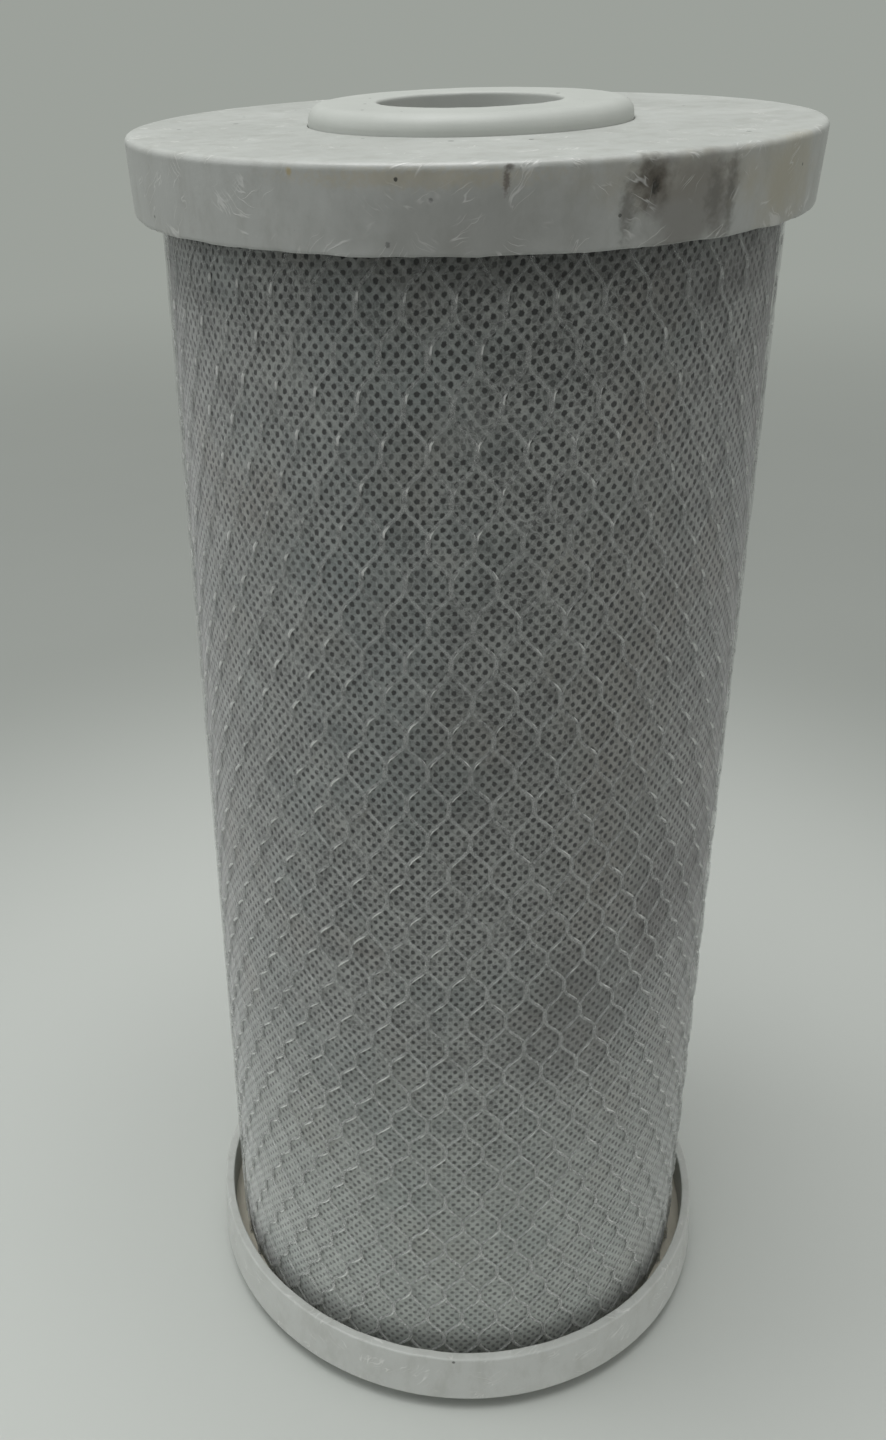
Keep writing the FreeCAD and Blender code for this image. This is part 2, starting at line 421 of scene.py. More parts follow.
def ribs():
    """The ribs that hold the block off the disc of the lower cap."""
    points, faces = [], []
    low = GASKET_STAND + DISC - RIB_ROOT
    high = low + RIB_ROOT + RIB_HEIGHT
    inner = SPIGOT_RADIUS + RIB_MARGIN
    outer = SKIRT_INNER - RIB_MARGIN
    for i in range(RIB_COUNT):
        angle = 2 * math.pi * i / RIB_COUNT
        along = np.array((math.cos(angle), math.sin(angle), 0))
        across = np.array((-math.sin(angle), math.cos(angle), 0))
        first = len(points)
        for z, half in ((low, RIB_WIDTH / 2), (high, RIB_WIDTH / 2 * RIB_DRAFT)):
            for radius, side in ((inner, -1), (outer, -1), (outer, 1), (inner, 1)):
                points.append(along * radius + across * side * half + np.array((0, 0, z)))
        faces.append(tuple(first + k for k in (3, 2, 1, 0)))
        faces.append(tuple(first + k for k in (4, 5, 6, 7)))
        for k in range(4):
            following = (k + 1) % 4
            faces.append((first + k, first + following, first + 4 + following, first + 4 + k))
    return points, faces


def make_skirt_uneven(point, radius, seed):
    """Moves a point of the skirt, so that its edge waves and its wall isn't quite round."""
    height = point[2] - GASKET_STAND
    low = max(0.0, (height - SKIRT_HEIGHT / 2) / (SKIRT_HEIGHT / 2))
    direction = Vector((point[0], point[1], 0)) / radius
    wave = wander(direction * EDGE_LONG_WAVES, seed)
    wave += EDGE_SHORT_SHARE * wander(direction * EDGE_SHORT_WAVES, seed + 1)
    point[2] += EDGE_WAVE * low * low * (wave - EDGE_DROP)
    place = direction * WARP_WAVES + Vector((0, 0, height * WARP_CLIMB))
    shrink = RIM_WARP * (1 + wander(place, seed + 2)) / 2
    point[0] *= 1 - shrink / radius
    point[1] *= 1 - shrink / radius


def end_cap(name, seed):
    """The moulded cap: disc, skirt with its slightly uneven edge, spigot, gasket seat and ribs."""
    face = GASKET_STAND
    corners = [
        (BORE_RADIUS, face + SEAT_DEPTH, CREASE_ROUNDING),
        (BORE_RADIUS, face + CAP_LENGTH, EDGE_ROUNDING),
        (SPIGOT_RADIUS, face + CAP_LENGTH, EDGE_ROUNDING),
        (SPIGOT_RADIUS, face + DISC, CREASE_ROUNDING),
        (SKIRT_INNER, face + DISC, CREASE_ROUNDING),
        (SKIRT_INNER, face + SKIRT_HEIGHT, EDGE_ROUNDING),
        (SKIRT_OUTER_EDGE, face + SKIRT_HEIGHT, SKIRT_ROUNDING),
        (CAP_RADIUS, face, RIM_ROUNDING),
        (SEAT_RADIUS, face, LIP_ROUNDING),
        (SEAT_RADIUS, face + SEAT_DEPTH, SEAT_ROUNDING),
    ]
    points, faces = lathe(divided(rounded(corners)))
    for point in points:
        radius = math.hypot(point[0], point[1])
        if radius > SKIRT_INNER - SUPPORT:
            make_skirt_uneven(point, radius, seed)
    rib_points, rib_faces = ribs()
    faces += [tuple(k + len(points) for k in rib_face) for rib_face in rib_faces]
    points = np.concatenate([points, np.array(rib_points)])
    if name.startswith("top"):
        points = turned_over(points)
    return make_mesh(name, points, faces)


def gasket(name, seed):
    """The flat sealing ring, with soft edges."""
    corners = [
        (GASKET_HOLE_RADIUS, 0, GASKET_HOLE_ROUNDING),
        (GASKET_HOLE_RADIUS, GASKET_THICKNESS, GASKET_FOOT_ROUNDING),
        (GASKET_RADIUS, GASKET_THICKNESS, GASKET_FOOT_ROUNDING),
        (GASKET_RADIUS, 0, GASKET_ROUNDING),
    ]
    points, faces = lathe(divided(rounded(corners)))
    for point in points:
        direction = Vector((point[0], point[1], 0)).normalized()
        if point[2] < GASKET_THICKNESS / 2:
            point[2] += GASKET_WAVE * (1 + wander(direction * GASKET_WAVES, seed))
    if name.startswith("top"):
        points = turned_over(points)
    return make_mesh(name, points, faces)


def lap_rise(angle):
    """How far the fabric's overlap lifts what lies on it, at an angle from +X."""
    apart = abs((angle - LAP_ANGLE + math.pi) % (2 * math.pi) - math.pi) * WRAP_RADIUS
    return WRAP_THICKNESS * eased((LAP_WIDTH / 2 + LAP_RAMP - apart) / LAP_RAMP)


def outer_fabric():
    """The fabric sheet wound once round the block, its outer edge lying on its inner one."""
    lap = LAP_WIDTH / WRAP_MIDDLE
    ramp = LAP_RAMP / WRAP_MIDDLE
    whole = 2 * math.pi + lap
    points, faces = [], []
    for i in range(WRAP_COLUMNS + 1):
        travel = whole * i / WRAP_COLUMNS
        angle = LAP_ANGLE - lap / 2 + travel
        climb = WRAP_THICKNESS * eased((travel - (2 * math.pi - ramp)) / ramp)
        direction = Vector((math.cos(angle), math.sin(angle), 0))
        for j in range(WRAP_ROWS + 1):
            height = BLOCK_LOW + (BLOCK_HIGH - BLOCK_LOW) * j / WRAP_ROWS
            place = direction * WRAP_WAVES + Vector((0, 0, height * WRAP_CLIMB))
            radius = WRAP_MIDDLE + climb + WRAP_UNEVEN * wander(place, WRAP_SEED)
            points.append((radius * math.cos(angle), radius * math.sin(angle), height))
    for i in range(WRAP_COLUMNS):
        for j in range(WRAP_ROWS):
            a = i * (WRAP_ROWS + 1) + j
            b = a + WRAP_ROWS + 1
            faces.append((a, b, b + 1, a + 1))
    piece = make_mesh("outer_fabric_wrap", points, faces)
    thickness = piece.modifiers.new("thickness", "SOLIDIFY")
    thickness.thickness = WRAP_THICKNESS * MM
    thickness.offset = 0
    return piece


def row_heights():
    """Heights along a strand and the count of rows of crossings passed at each, from the anchor crossing."""
    heights = np.linspace(BLOCK_LOW, BLOCK_HIGH, ROW_SAMPLES)
    step = ROW_STEP * (1 + ROW_GROWTH * ((heights - ROW_MIDDLE) / ROW_REACH) ** 2)
    rows = np.concatenate([[0], np.cumsum(np.diff(heights) * 2 / (step[1:] + step[:-1]))])
    rows -= np.interp(NET_ANCHOR, heights, rows)
    return heights, rows


def strand_course(strand, hand, middle_radius, row, z):
    """A strand's angles round the axis and the points of its middle line.

    It sways about its helix, so that it runs upright through the crossings.
    """
    half_cell = math.pi / NET_CELLS
    start = NET_ANGLE + strand * 2 * half_cell
    sway = STRAND_SWAY * np.sin(2 * math.pi * row) / middle_radius
    strays = [wander((strand * DRIFT_STEP, height * DRIFT_CLIMB, hand), DRIFT_SEED) for height in z]
    drift = STRAND_DRIFT * np.array(strays) / middle_radius
    angle = start + hand * (row * half_cell - sway) + drift
    radius = np.array([middle_radius + lap_rise(a) for a in angle])
    return angle, np.stack([radius * np.cos(angle), radius * np.sin(angle), z], -1)


def strand_directions(angle, middle):
    """The directions across a strand and out of the netting, at each point of its middle line."""
    along = np.gradient(middle, axis=0)
    along /= np.linalg.norm(along, axis=1)[:, None]
    outward = np.stack([np.cos(angle), np.sin(angle), np.zeros_like(angle)], -1)
    across = np.cross(along, outward)
    across /= np.linalg.norm(across, axis=1)[:, None]
    return across, outward


def strand_faces(first, rings):
    """The faces of a closed strand whose rings of points start at the index first."""
    faces = []
    for i in range(rings - 1):
        a = first + i * STRAND_SIDES
        b = a + STRAND_SIDES
        for side in range(STRAND_SIDES):
            following = (side + 1) % STRAND_SIDES
            faces.append((a + side, a + following, b + following, b + side))
    last = first + (rings - 1) * STRAND_SIDES
    faces.append(tuple(first + side for side in reversed(range(STRAND_SIDES))))
    faces.append(tuple(last + side for side in range(STRAND_SIDES)))
    return faces


def painted_glint_along(row, z):
    """How strongly the painted highlight lies on each ring of a strand, from 0 to 1."""
    below = (-row) % 1.0
    palest = PALE_LOW + PALE_CLIMB * (z - PALE_LOW_HEIGHT)
    reach = PALE_REACH * (PALE_GAIN - z / PALE_FADE)
    return np.clip(1 - np.abs(below - palest) / reach, 0, 1)


def netting_layer(name, hand, middle_radius):
    """All the strands that wind one way, with the attribute that says where highlights and shade are painted
    on them.
    """
    heights, rows = row_heights()
    rings = int((rows[-1] - rows[0]) * RINGS_A_ROW) + 1
    row = np.linspace(rows[0], rows[-1], rings)
    z = np.interp(row, rows, heights)
    along = painted_glint_along(row, z)
    swell = 1 + KNOT_SWELL * np.cos(math.pi * row) ** KNOT_SHARPNESS
    points, faces, painted_glints = [], [], []
    for strand in range(NET_CELLS):
        angle, middle = strand_course(strand, hand, middle_radius, row, z)
        across, outward = strand_directions(angle, middle)
        uneven = [wander((strand * PALE_STEP, height * PALE_WAVES, 2), PALE_SEED) for height in z]
        strength = PALE_MEAN + PALE_UNEVEN * np.array(uneven)
        # Painted highlight and shade: one winding catches the light on one side of the block, the other
        # winding on the other side, and only on the side of a strand that faces the light.
        caught = np.clip(PALE_SHARE * (1 - hand * np.sin(angle - PALE_TURN)), 0, 1)
        faces += strand_faces(len(points), rings)
        for i in range(rings):
            for side in range(STRAND_SIDES):
                turn = 2 * math.pi * side / STRAND_SIDES
                facing = max(0.0, math.cos(turn - hand * PALE_SIDE))
                glint = along[i] * strength[i] * caught[i] * facing
                painted_glints.append(glint if glint > 0 else PAINTED_SHADE_FAINT * (1 - caught[i]))
                width = STRAND_HALF_WIDTH * swell[i] * math.cos(turn)
                rise = STRAND_HALF_THICKNESS * math.sin(turn)
                points.append(middle[i] + across[i] * width + outward[i] * rise)
    piece = make_mesh(name, points, faces)
    attribute = piece.data.attributes.new("pale", "FLOAT", "POINT")
    attribute.data.foreach_set("value", painted_glints)
    return piece


class Nodes:
    """Short names for the nodes of one tree, which starts empty."""

    def __init__(self, tree):
        self.tree = tree
        tree.nodes.clear()

    def plug(self, socket, value):
        """Gives a socket a link or a plain value."""
        if isinstance(value, bpy.types.NodeSocket):
            self.tree.links.new(value, socket)
        elif isinstance(value, tuple) and len(value) == 3 and socket.type == "RGBA":
            socket.default_value = value + (1.0,)
        else:
            socket.default_value = value

    def make(self, kind, inputs, **settings):
        """A node with its inputs filled."""
        made = self.tree.nodes.new("ShaderNode" + kind)
        for name, value in settings.items():
            setattr(made, name, value)
        for name, value in inputs.items():
            self.plug(made.inputs[name], value)
        return made

    def node(self, kind, inputs, output=0, **settings):
        """One output of a node with its inputs filled."""
        return self.make(kind, inputs, **settings).outputs[output]

    def math(self, operation, a, b=0.0, c=0.0):
        return self.node("Math", {0: a, 1: b, 2: c}, operation=operation)

    def swing(self, value, reach):
        """Turns a noise from 0 to 1 into a value from -reach to reach."""
        return self.math("MULTIPLY_ADD", value, 2 * reach, -reach)

    def highest(self, values):
        """The largest of several values."""
        return functools.reduce(lambda a, b: self.math("MAXIMUM", a, b), values)

    def vector(self, operation, a, b=(0.0, 0.0, 0.0)):
        return self.node("VectorMath", {0: a, 1: b}, operation=operation)

    def length(self, a):
        return self.node("VectorMath", {0: a}, output="Value", operation="LENGTH")

    def combine(self, x, y, z=0.0):
        return self.node("CombineXYZ", {0: x, 1: y, 2: z})

    def coordinate(self, place, axis):
        """A place's X, Y or Z."""
        return self.node("SeparateXYZ", {0: place}, output=axis)

    def smooth(self, value, low, high, to_low=0.0, to_high=1.0):
        """Turns value between low and high smoothly into to_low to to_high."""
        inputs = {0: value, 1: low, 2: high, 3: to_low, 4: to_high}
        return self.node("MapRange", inputs, interpolation_type="SMOOTHSTEP")

    def noise(self, place, scale, detail=2.0, roughness=0.5):
        inputs = {"Vector": place, "Scale": scale, "Detail": detail, "Roughness": roughness}
        return self.node("TexNoise", inputs)

    def other_noise(self, place, shift, scale, detail, roughness=0.5):
        """The noise of a place that lies elsewhere, so that it doesn't match the first."""
        return self.noise(self.vector("ADD", place, shift), scale, detail, roughness)

    def mix(self, share, a, b):
        """Colour a turning into colour b."""
        return self.node("Mix", {0: share, 6: a, 7: b}, output=2, data_type="RGBA")

    def seen_directly(self):
        """1 for what is seen directly, in a shine or through glass, and 0 for the light on the object."""
        path = self.make("LightPath", {}).outputs
        return self.highest([path["Is Camera Ray"], path["Is Glossy Ray"], path["Is Transmission Ray"]])


class Shader(Nodes):
    """The nodes of a material with one Principled shader."""

    def __init__(self, name):
        self.material = bpy.data.materials.new(name)
        self.material.use_nodes = True
        super().__init__(self.material.node_tree)
        self.principled = self.make("BsdfPrincipled", {})
        self.output = self.make("OutputMaterial", {0: self.principled.outputs[0]})

    def set(self, **values):
        """Sets the Principled shader's sockets; an underscore stands for a space."""
        sockets = {socket.name.lower(): socket for socket in self.principled.inputs}
        for name, value in values.items():
            self.plug(sockets[name.replace("_", " ")], value)

    def place(self):
        """The place on the piece in millimetres."""
        coordinates = self.node("TexCoord", {}, output="Object")
        return self.vector("MULTIPLY", coordinates, (1 / MM, 1 / MM, 1 / MM))

    def unrolled(self, place, radius, over_rim=False):
        """The place on a cylinder laid flat: along its girth from the front, and its height.

        With over_rim, the height goes on over the rim and inward along the face.
        """
        x = self.coordinate(place, "X")
        y = self.coordinate(place, "Y")
        z = self.coordinate(place, "Z")
        angle = self.math("ARCTAN2", x, self.math("MULTIPLY", y, -1.0))
        if over_rim:
            reach = self.length(self.combine(x, y))
            z = self.math("ADD", z, self.math("MULTIPLY_ADD", reach, -1.0, radius))
        return self.combine(self.math("MULTIPLY", angle, radius), z)

    def bump(self, height, distance, strength):
        inputs = {"Height": height, "Distance": distance * MM, "Strength": strength}
        return self.node("Bump", inputs)


def girth(angle, radius):
    """Where an angle from +X, in degrees, lies along a cylinder's girth laid flat from the front."""
    return math.radians(angle + 90) * radius


def blot(shader, flat, middle, size, ragged, blur, seed):
    """A soft uneven spot on a flat-laid surface, 1 in its middle and 0 outside."""
    offset = shader.vector("SUBTRACT", flat, middle + (0.0,))
    scaled = shader.vector("DIVIDE", offset, size + (1.0,))
    edge = shader.other_noise(flat, (seed, seed, seed), scale=BLOT_GRAIN / min(size), detail=3.0)
    distance = shader.math("ADD", shader.length(scaled), shader.swing(edge, ragged))
    return shader.smooth(distance, 1.0, 1.0 - blur)


def marked(shader, flat, radius, colour, marks, first_seed, seed_step):
    """The colour with marks laid over it one after another."""
    for i, mark in enumerate(marks):
        middle = (girth(mark.angle, radius), mark.height)
        size = (mark.half_width, mark.half_height)
        spot = blot(shader, flat, middle, size, mark.ragged, mark.blur, first_seed + i * seed_step)
        colour = shader.mix(shader.math("MULTIPLY", spot, mark.strength), colour, mark.colour)
    return colour


def grains(shader, place, spacing, radius, share, seed=0.0):
    """Sparse small specks: a share of the cells of a Voronoi pattern has one."""
    shifted = shader.vector("ADD", place, (seed, seed, seed))
    scale = 1 / spacing
    cells = shader.make("TexVoronoi", {"Vector": shifted, "Scale": scale, "Randomness": 1.0}).outputs
    draws = shader.make("SeparateColor", {0: cells["Color"]}).outputs
    reach = shader.math("MULTIPLY", draws["Green"], radius * scale)
    near = shader.math("LESS_THAN", cells["Distance"], reach)
    return shader.math("MULTIPLY", near, shader.math("LESS_THAN", draws["Red"], share))


def curled(shader, flat, scale, detail, reach):
    """The flat-laid place pushed about by a noise, so that lines drawn on it curl."""
    curl = shader.noise(flat, scale, detail)
    push = shader.vector("MULTIPLY", shader.combine(curl, curl), reach + (0.0,))
    return shader.vector("ADD", flat, push)


def turned(shader, flat, turn):
    """The flat-laid place turned, so that lines drawn on it run another way."""
    return shader.node("Mapping", {"Vector": flat, "Rotation": (0.0, 0.0, turn)})


def lines(shader, drawn, half_width):
    """Lines where a noise passes through its middle, 1 on a line and 0 beside it."""
    apart = shader.math("SUBTRACT", shader.noise(drawn, scale=1.0, detail=1.0), 0.5)
    return shader.smooth(shader.math("ABSOLUTE", apart), half_width, 0.0)


def scuffs(shader, flat):
    """Thin pale scuffs here and there."""
    bent = curled(shader, flat, scale=0.12, detail=3.0, reach=(9.0, 1.0))
    parts = []
    for turn, seed in ((0.6, 3.0), (-0.5, 11.0), (-0.9, 27.0)):
        moved = shader.vector("ADD", turned(shader, bent, turn), (seed, seed, 0.0))
        drawn = shader.vector("MULTIPLY", moved, SCUFF_STRETCH + (1.0,))
        where = shader.other_noise(flat, (seed * 3, 0.0, 0.0), scale=0.14, detail=1.0)
        where = shader.smooth(where, 0.59, 0.68)
        parts.append(shader.math("MULTIPLY", lines(shader, drawn, SCUFF_HALF_WIDTH), where))
    return shader.highest(parts)


def cap_material():
    """Off-white moulded plastic with the marks, smears and dust of handling, and painted shade across the
    front of the upper skirt.
    """
    shader = Shader("end_cap_plastic")
    place = shader.place()
    flat = shader.unrolled(place, CAP_RADIUS, over_rim=True)
    mottle = shader.noise(place, scale=0.05, detail=4.0, roughness=0.6)
    colour = shader.mix(mottle, CAP_GREY, CAP_PALE)
    tall = shader.vector("MULTIPLY", place, (0.25, 0.25, 0.12))
    cloud = shader.noise(tall, scale=1.0, detail=5.0, roughness=0.65)
    share = shader.smooth(cloud, 0.42, 0.70, to_high=0.40)
    colour = shader.mix(share, colour, CAP_CLOUD)
    blotch = shader.other_noise(place, (80.0, 0.0, 0.0), scale=0.22, detail=4.0, roughness=0.7)
    share = shader.smooth(blotch, 0.50, 0.75, to_high=0.22)
    colour = shader.mix(share, colour, CAP_BLOTCH)
    colour = marked(shader, flat, CAP_RADIUS, colour, CAP_MARKS_AND_PAINTED_SHADE, first_seed=0.0, seed_step=13.7)
    fine_dust = grains(shader, place, spacing=4.0, radius=0.42, share=0.28)
    coarse_dust = grains(shader, place, spacing=9.0, radius=0.62, share=0.30, seed=40.0)
    dust = shader.highest([fine_dust, coarse_dust])
    colour = shader.mix(shader.math("MULTIPLY", dust, 0.8), colour, CAP_DUST)
    scuff = scuffs(shader, flat)
    colour = shader.mix(shader.math("MULTIPLY", scuff, 0.6), colour, CAP_SCUFF)
    fine = shader.noise(place, scale=1.6, detail=3.0)
    relief = shader.math("ADD", fine, scuff)
    shader.set(
        base_color=colour,
        roughness=shader.smooth(mottle, 0.3, 0.7, to_low=0.28, to_high=0.42),
        ior=1.49,
        normal=shader.bump(relief, distance=0.05, strength=0.6),
    )
    return shader.material


def gasket_material():
    """Soft white rubber, dusted with carbon."""
    shader = Shader("gasket_rubber")
    place = shader.place()
    mottle = shader.noise(place, scale=0.09, detail=4.0, roughness=0.6)
    colour = shader.mix(mottle, RUBBER_GREY, RUBBER_PALE)
    fine_dust = grains(shader, place, spacing=3.5, radius=0.42, share=0.30)
    coarse_dust = grains(shader, place, spacing=7.0, radius=0.65, share=0.32, seed=15.0)
    dust = shader.highest([fine_dust, coarse_dust])
    colour = shader.mix(shader.math("MULTIPLY", dust, 0.85), colour, RUBBER_DUST)
    fine = shader.noise(place, scale=2.5, detail=4.0)
    shader.set(
        base_color=colour,
        roughness=0.5,
        ior=1.42,
        normal=shader.bump(fine, distance=0.04, strength=0.5),
    )
    return shader.material


def fibres(shader, flat, turns, fineness, seed):
    """Fine curly lines that run in several directions, 1 on a fibre and 0 beside it."""
    bent = curled(shader, flat, scale=0.55, detail=2.0, reach=(1.0, 1.4))
    parts = []
    for i, turn in enumerate(turns):
        shift = (seed + FIBRE_SHIFT[0] * i, seed + FIBRE_SHIFT[1] * i, 0.0)
        moved = shader.vector("ADD", turned(shader, bent, turn), shift)
        stretch = (FIBRE_STRETCH[0] * fineness, FIBRE_STRETCH[1] * fineness, 1.0)
        drawn = shader.vector("MULTIPLY", moved, stretch)
        parts.append(lines(shader, drawn, FIBRE_HALF_WIDTH))
    return shader.highest(parts)


def dots(shader, flat):
    """The staggered bond points of the fabric: from 0 between them to 1 in a point."""
    shiver = shader.noise(flat, scale=0.9, detail=2.0)
    other = shader.other_noise(flat, (71.0, 33.0, 0.0), scale=0.9, detail=2.0)
    stray = shader.vector("MULTIPLY", shader.combine(shiver, other), (DOT_STRAY, DOT_STRAY, 0.0))
    sink = shader.math("MULTIPLY", shader.coordinate(flat, "X"), -DOT_SLANT)
    moved = shader.vector("ADD", shader.vector("ADD", flat, stray), shader.combine(0.0, sink))
    cell = shader.vector("DIVIDE", moved, (DOT_PITCH, DOT_RISE, 1.0))
    fray = shader.swing(shader.noise(flat, scale=3.2, detail=2.0), DOT_FRAY)
    parts = []
    for shift in (0.0, 0.5):
        shifted = shader.vector("ADD", cell, (shift, shift, 0.0))
        offset = shader.vector("SUBTRACT", shader.vector("FRACTION", shifted), (0.5, 0.5, 0.0))
        scaled = shader.vector("MULTIPLY", offset, (DOT_PITCH, DOT_RISE * DOT_STRETCH, 0.0))
        distance = shader.math("ADD", shader.length(scaled), fray)
        mask = shader.smooth(distance, DOT_RADIUS + DOT_BLUR, DOT_RADIUS - DOT_BLUR)
        number = shader.vector("FLOOR", shifted)
        draw = shader.node("TexWhiteNoise", {"Vector": number}, noise_dimensions="3D")
        strength = shader.smooth(draw, 0.0, 0.35, to_low=0.7)
        parts.append(shader.math("MULTIPLY", mask, strength))
    return shader.highest(parts)


def fabric_tone_and_painted_light(shader, flat, patch, height):
    """How pale the fabric is between its dots: fibres, clouds, patches, and painted light that makes it paler
    towards its foot and darker higher up.
    """
    cloud = shader.noise(flat, scale=0.055, detail=5.0, roughness=0.6)
    fine = shader.noise(flat, scale=2.6, detail=3.0, roughness=0.7)
    threads = fibres(shader, flat, (0.1, 0.6, 1.1, 1.5, 2.0, 2.6), fineness=1.3, seed=5.0)
    hairs = fibres(shader, flat, (0.5, 1.2, 1.9, 2.9), fineness=0.8, seed=91.0)
    tone = shader.math("MULTIPLY_ADD", fine, 0.45, shader.math("MULTIPLY", threads, 0.34))
    tone = shader.math("ADD", tone, shader.math("MULTIPLY", hairs, 0.34))
    tone = shader.math("ADD", tone, shader.math("MULTIPLY_ADD", cloud, 0.5, -0.20))
    tone = shader.math("ADD", tone, shader.swing(patch, 0.18))
    # Painted light: paler towards the foot, darker above it.
    return shader.math("ADD", tone, shader.smooth(height, 110.0, 20.0, to_low=-0.16, to_high=0.14))


def fabric_material():
    """Grey bonded fabric over black carbon: dark bond points, pale fluff, stains, painted shade under the
    upper cap, and painted light towards the foot.
    """
    shader = Shader("outer_fabric")
    flat = shader.unrolled(shader.place(), WRAP_RADIUS)
    height = shader.coordinate(flat, "Y")
    patch = shader.other_noise(flat, (55.0, 10.0, 0.0), scale=0.18, detail=3.0)
    tone = fabric_tone_and_painted_light(shader, flat, patch, height)
    colour = shader.mix(tone, FABRIC_DARK, FABRIC_PALE)
    warm = shader.other_noise(flat, (20.0, 70.0, 0.0), scale=0.05, detail=3.0)
    colour = shader.mix(shader.smooth(warm, 0.52, 0.68, to_high=0.25), colour, FABRIC_WARM)
    cool = shader.other_noise(flat, (90.0, 15.0, 0.0), scale=0.045, detail=3.0)
    colour = shader.mix(shader.smooth(cool, 0.48, 0.66, to_high=0.30), colour, FABRIC_COOL)
    # Painted light: greener and paler towards the foot.
    colour = shader.mix(shader.smooth(height, 115.0, 45.0, to_high=0.35), colour, FABRIC_PAINTED_FOOT_LIGHT)
    colour = marked(shader, flat, WRAP_RADIUS, colour, FABRIC_TINTS, first_seed=33.0, seed_step=1.0)
    point = dots(shader, flat)
    middle = (girth(FLUFF_ANGLE, WRAP_RADIUS), FLUFF_HEIGHT)
    spot = blot(shader, flat, middle, FLUFF_SIZE, ragged=0.8, blur=0.9, seed=8.0)
    fluff = shader.highest([spot, shader.smooth(patch, 0.60, 0.75)])
    shown = shader.math("MULTIPLY", point, shader.smooth(fluff, 0.0, 1.0, to_low=0.95, to_high=0.55))
    # Painted light: the dots fade towards the foot, washed out by a bright veil.
    shown = shader.math("MULTIPLY", shown, shader.smooth(height, 20.0, 140.0, to_low=0.74))
    colour = shader.mix(shown, colour, DOT_COLOUR)
    colour = marked(shader, flat, WRAP_RADIUS, colour, FABRIC_STAINS_AND_PAINTED_SHADE, first_seed=60.0, seed_step=9.1)
    relief = shader.math("SUBTRACT", shader.math("MULTIPLY", tone, 0.7), point)
    shader.set(
        base_color=colour,
        roughness=0.85,
        sheen_weight=0.5,
        sheen_roughness=0.5,
        normal=shader.bump(relief, distance=0.10, strength=0.8),
    )
    return shader.material


def netting_material():
    """Clear-white netting plastic that the fabric shows through, nearly solid where highlights are painted on
    it.
    """
    shader = Shader("netting_plastic")
    place = shader.place()
    cloud = shader.noise(place, scale=0.35, detail=3.0)
    colour = shader.mix(cloud, NET_GREY, NET_PALE)
    tall = shader.vector("MULTIPLY", place, (1.6, 1.6, 0.5))
    streaks = shader.noise(tall, scale=1.0, detail=3.0, roughness=0.7)
    alpha = shader.smooth(cloud, 0.3, 0.7, to_low=0.20, to_high=0.38)
    alpha = shader.math("MULTIPLY", alpha, shader.smooth(streaks, 0.3, 0.65, to_low=0.6, to_high=1.25))
    height = shader.coordinate(place, "Z")
    alpha = shader.math("MULTIPLY", alpha, shader.smooth(height, 40.0, 190.0, to_low=1.10, to_high=0.66))
    pale = shader.node("Attribute", {}, output="Fac", attribute_name="pale")
    # Painted shade makes the strands that the light doesn't catch fainter; painted highlights make strands
    # white and nearly solid.
    alpha = shader.math("MULTIPLY", alpha, shader.smooth(pale, PAINTED_SHADE_FAINT, 0.0, to_low=0.55))
    glint = shader.smooth(pale, 0.08, 0.60)
    colour = shader.mix(glint, colour, NET_PAINTED_GLINT)
    alpha = shader.highest([alpha, shader.math("MULTIPLY", glint, 0.85)])
    fine = shader.noise(place, scale=1.5, detail=2.0)
    shader.set(
        base_color=colour,
        roughness=0.5,
        ior=1.45,
        alpha=alpha,
        normal=shader.bump(fine, distance=0.08, strength=0.6),
    )
    return shader.material


def carbon_material():
    """Black pressed grains."""
    shader = Shader("carbon")
    place = shader.place()
    grain = shader.node("TexVoronoi", {"Vector": place, "Scale": 2.2, "Randomness": 1.0})
    fine = shader.noise(place, scale=3.0, detail=5.0, roughness=0.7)
    relief = shader.math("ADD", grain, fine)
    shader.set(
        base_color=shader.mix(fine, CARBON_DARK, CARBON_PALE),
        roughness=0.75,
        normal=shader.bump(relief, distance=0.25, strength=1.0),
    )
    return shader.material


def liner_material():
    """Thin pale fabric that lines the block's bore, greyed by carbon."""
    shader = Shader("inner_fabric")
    flat = shader.unrolled(shader.place(), BORE_RADIUS)
    fine = shader.noise(flat, scale=2.0, detail=4.0, roughness=0.7)
    threads = fibres(shader, flat, (0.2, 1.0, 1.8), fineness=0.8, seed=44.0)
    tone = shader.math("MULTIPLY_ADD", threads, 0.3, shader.math("MULTIPLY", fine, 0.7))
    shader.set(
        base_color=shader.mix(tone, LINER_DARK, LINER_PALE),
        roughness=0.9,
        sheen_weight=0.2,
        normal=shader.bump(tone, distance=0.15, strength=0.8),
    )
    return shader.material


def adhesive_material():
    """Cloudy hot-melt adhesive with small bubbles."""
    shader = Shader("adhesive")
    place = shader.place()
    cloud = shader.noise(place, scale=0.2, detail=4.0)
    bubble = grains(shader, place, spacing=2.0, radius=0.5, share=0.5)
    relief = shader.math("SUBTRACT", cloud, bubble)
    shader.set(
        base_color=shader.mix(cloud, GLUE_DARK, GLUE_PALE),
        roughness=0.35,
        ior=1.48,
        normal=shader.bump(relief, distance=0.2, strength=0.8),
    )
    return shader.material


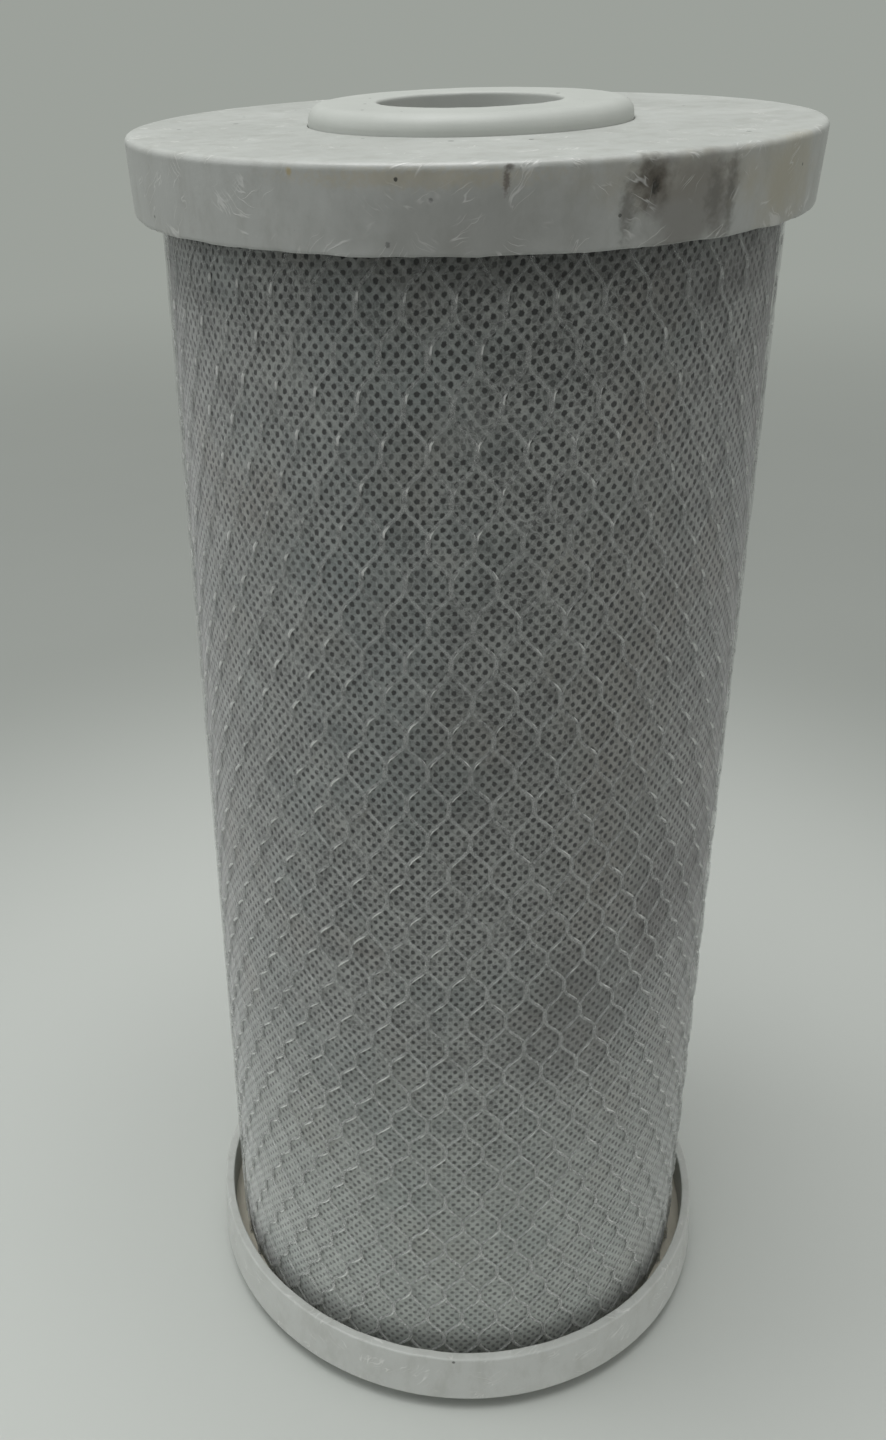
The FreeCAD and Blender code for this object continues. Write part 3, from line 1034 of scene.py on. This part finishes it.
def floor_material():
    """Pale floor with a painted pool of light round the object, that turns far away into the plain
    background.
    """
    shader = Shader("floor")
    place = shader.node("TexCoord", {}, output="Object")
    reach = shader.length(shader.vector("MULTIPLY", place, (1.0, 1.0, 0.0)))
    # Painted pool of light: paler round the object.
    colour = shader.mix(shader.smooth(reach, NEAR_REACH, FAR_REACH), FLOOR_PAINTED_POOL, FLOOR_FAR)
    cloud = shader.noise(place, scale=6.0, detail=3.0)
    colour = shader.mix(shader.smooth(cloud, 0.3, 0.7, to_high=0.06), colour, FLOOR_CLOUD)
    # Painted pool of light in what the floor throws back: bright near the object, dim farther out.
    painted_bounce = shader.mix(shader.smooth(reach, BOUNCE_NEAR, BOUNCE_FAR), FLOOR_PAINTED_BOUNCE, FLOOR_DIM)
    direct = shader.seen_directly()
    grain = shader.noise(place, scale=900.0, detail=2.0)
    shader.set(
        base_color=shader.mix(direct, painted_bounce, colour),
        roughness=0.8,
        normal=shader.bump(grain, distance=0.05, strength=0.3),
    )
    glow = shader.node("Emission", {0: BACKGROUND})
    melted = shader.math("MULTIPLY", shader.smooth(reach, MELT_NEAR, MELT_FAR), direct)
    blend = shader.node("MixShader", {0: melted, 1: shader.principled.outputs[0], 2: glow})
    shader.plug(shader.output.inputs[0], blend)
    return shader.material


def dress(piece, material, slot, *nodes):
    """Gives a new piece its material, lets it ride on the part and stand for its nodes."""
    piece.data.materials.append(material)
    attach(piece, BODY)
    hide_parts(*nodes)


def build_pieces():
    cap = cap_material()
    rubber = gasket_material()
    for end, seed in (("bottom", LOWER_SEED), ("top", UPPER_SEED)):
        dress(end_cap(end + "_cap_moulding", seed), cap, "end_cap_plastic", end + "_end_cap")
        dress(gasket(end + "_sealing_ring", seed), rubber, "gasket_rubber", end + "_gasket")
    dress(outer_fabric(), fabric_material(), "outer_fabric", "outer_wrap")
    plastic = netting_material()
    inner_radius = WRAP_RADIUS + STRAND_HALF_THICKNESS
    outer_radius = NET_RADIUS - STRAND_HALF_THICKNESS
    dress(netting_layer("netting_left_hand", 1, inner_radius), plastic, "netting_plastic", "netting_sleeve")
    dress(netting_layer("netting_right_hand", -1, outer_radius), plastic, "netting_plastic", "netting_sleeve")
    glue = adhesive_material()
    kept = {
        "carbon_block": carbon_material(),
        "inner_wrap": liner_material(),
        "bottom_adhesive_ring": glue,
        "top_adhesive_ring": glue,
    }
    for node, material in kept.items():
        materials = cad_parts[node].data.materials
        materials.clear()
        materials.append(material)


def build_floor():
    half = FLOOR_SIZE / 2 / MM
    corners = [(-half, -half, 0), (half, -half, 0), (half, half, 0), (-half, half, 0)]
    floor = make_mesh("floor", corners, [(0, 1, 2, 3)])
    floor.data.materials.append(floor_material())


def build_lamps():
    """Square lamps that shine on the object."""
    for name, place, side, power, colour in LAMPS:
        lamp = bpy.data.lights.new(name, "AREA")
        lamp.size = side
        lamp.energy = power
        lamp.color = colour
        stand = bpy.data.objects.new(name, lamp)
        stand.location = place
        stand.rotation_euler = (Vector(LAMP_TARGET) - Vector(place)).to_track_quat("-Z", "Y").to_euler()
        bpy.context.scene.collection.objects.link(stand)


def build_world():
    """Even white light on the object, where the camera sees the plain background."""
    world = bpy.data.worlds.new("room")
    bpy.context.scene.world = world
    world.use_nodes = True
    nodes = Nodes(world.node_tree)
    ambient = nodes.node("Background", {0: WHITE, 1: AMBIENT})
    backdrop = nodes.node("Background", {0: BACKGROUND})
    blend = nodes.node("MixShader", {0: nodes.seen_directly(), 1: ambient, 2: backdrop})
    nodes.make("OutputWorld", {0: blend})


def build_camera():
    """The camera as fitted to the cap rims and the sides in the photograph."""
    pan, pitch, roll = CAMERA_PAN, CAMERA_PITCH, CAMERA_ROLL
    forward = Vector((math.sin(pan) * math.cos(pitch), math.cos(pan) * math.cos(pitch), -math.sin(pitch)))
    level = Vector((math.cos(pan), -math.sin(pan), 0))
    down = forward.cross(level)
    right = math.cos(roll) * level + math.sin(roll) * down
    up = math.sin(roll) * level - math.cos(roll) * down
    lens = bpy.data.cameras.new("camera")
    lens.sensor_width = SENSOR
    lens.lens = FOCAL_PIXELS * SENSOR / PHOTO_HEIGHT
    lens.shift_x = (PHOTO_WIDTH / 2 - AXIS_PIXEL) / PHOTO_HEIGHT
    lens.clip_start = NEAREST
    lens.clip_end = FARTHEST
    camera = bpy.data.objects.new("camera", lens)
    turn = Matrix((right, up, -forward)).transposed()
    camera.matrix_world = Matrix.Translation(CAMERA_PLACE) @ turn.to_4x4()
    bpy.context.scene.collection.objects.link(camera)
    bpy.context.scene.camera = camera


build_pieces()
build_floor()
build_lamps()
build_world()
build_camera()
bpy.context.scene.view_settings.view_transform = "Standard"
